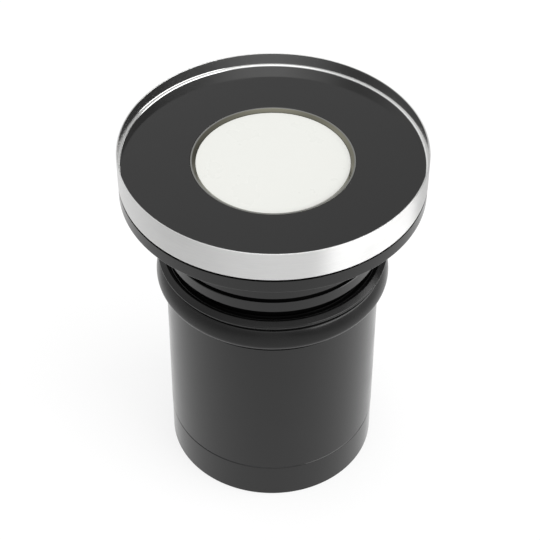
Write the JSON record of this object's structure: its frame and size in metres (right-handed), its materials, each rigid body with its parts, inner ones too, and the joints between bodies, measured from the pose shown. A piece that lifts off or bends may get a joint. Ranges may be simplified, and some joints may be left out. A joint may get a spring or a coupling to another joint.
{
  "type": "recessed floor light",
  "caption": "Round recessed floor light: a sealed light unit with a steel bezel, glossy black cover and white lens drops into a black mounting sleeve with a rubber grip collar.",
  "frame": {"origin": "centre of the end cap's flat base, which the part stands on", "axes": "+Z along the axis, from the end cap up to the bezel; the part is turned about Z, +X and +Y run to its sides, and the picture looks along +Y from above"},
  "size_m": [0.06, 0.06, 0.0776],
  "materials": {
    "bezel_steel": "turned, fine brushed",
    "cover_black": "gloss",
    "trim_metal": "satin",
    "lens_white": "opal satin",
    "body_black": "black anodised satin",
    "sleeve_black": "satin",
    "collar_rubber": "satin",
    "seal_rubber": "matt",
    "gland_black": "satin",
    "reflector_white": "semi gloss",
    "board_white": "solder mask",
    "chip_yellow": "silicone dome",
    "pad_grey": "matt",
    "plate_aluminium": "turned",
    "screw_steel": "plated",
    "lead_red": "satin",
    "board_green": "solder mask",
    "chip_black": "moulded",
    "can_blue": "shrink sleeve",
    "coil_copper": "enamelled",
    "block_grey": "moulded"
  },
  "bodies": {
    "foot": {"end_cap": "sleeve_black", "cap_seal": "seal_rubber", "cable_grommet": "seal_rubber"},
    "sleeve": {"sleeve_tube": "sleeve_black", "grip_collar": "collar_rubber"},
    "light": {"bezel_ring": "bezel_steel", "cover_plate": "cover_black", "window_trim": "trim_metal", "window_lens": "lens_white", "lens_seal": "seal_rubber", "cover_gasket": "seal_rubber", "flange_body": "body_black", "reflector": "reflector_white", "lamp_board": "board_white", "light_chips": "chip_yellow", "thermal_pad": "pad_grey", "heat_plate": "plate_aluminium", "board_screws": "screw_steel", "lead_wires": "lead_red", "barrel_seal": "seal_rubber", "rear_barrel": "body_black", "grip_rings": "seal_rubber", "driver_board": "board_green", "driver_chips": "chip_black", "smoothing_capacitor": "can_blue", "choke_coil": "coil_copper", "terminal_block": "block_grey", "gland_washer": "seal_rubber", "gland_body": "gland_black", "gland_bush": "seal_rubber", "gland_nut": "gland_black"}
  },
  "joints": [
    {"name": "sleeve_pull", "type": "slide", "parent": "foot", "child": "sleeve", "axis": [0, 0, 1], "range_m": [0, 0.012]},
    {"name": "light_pull", "type": "slide", "parent": "sleeve", "child": "light", "axis": [0, 0, 1], "range_m": [0, 0.045]}
  ]
}
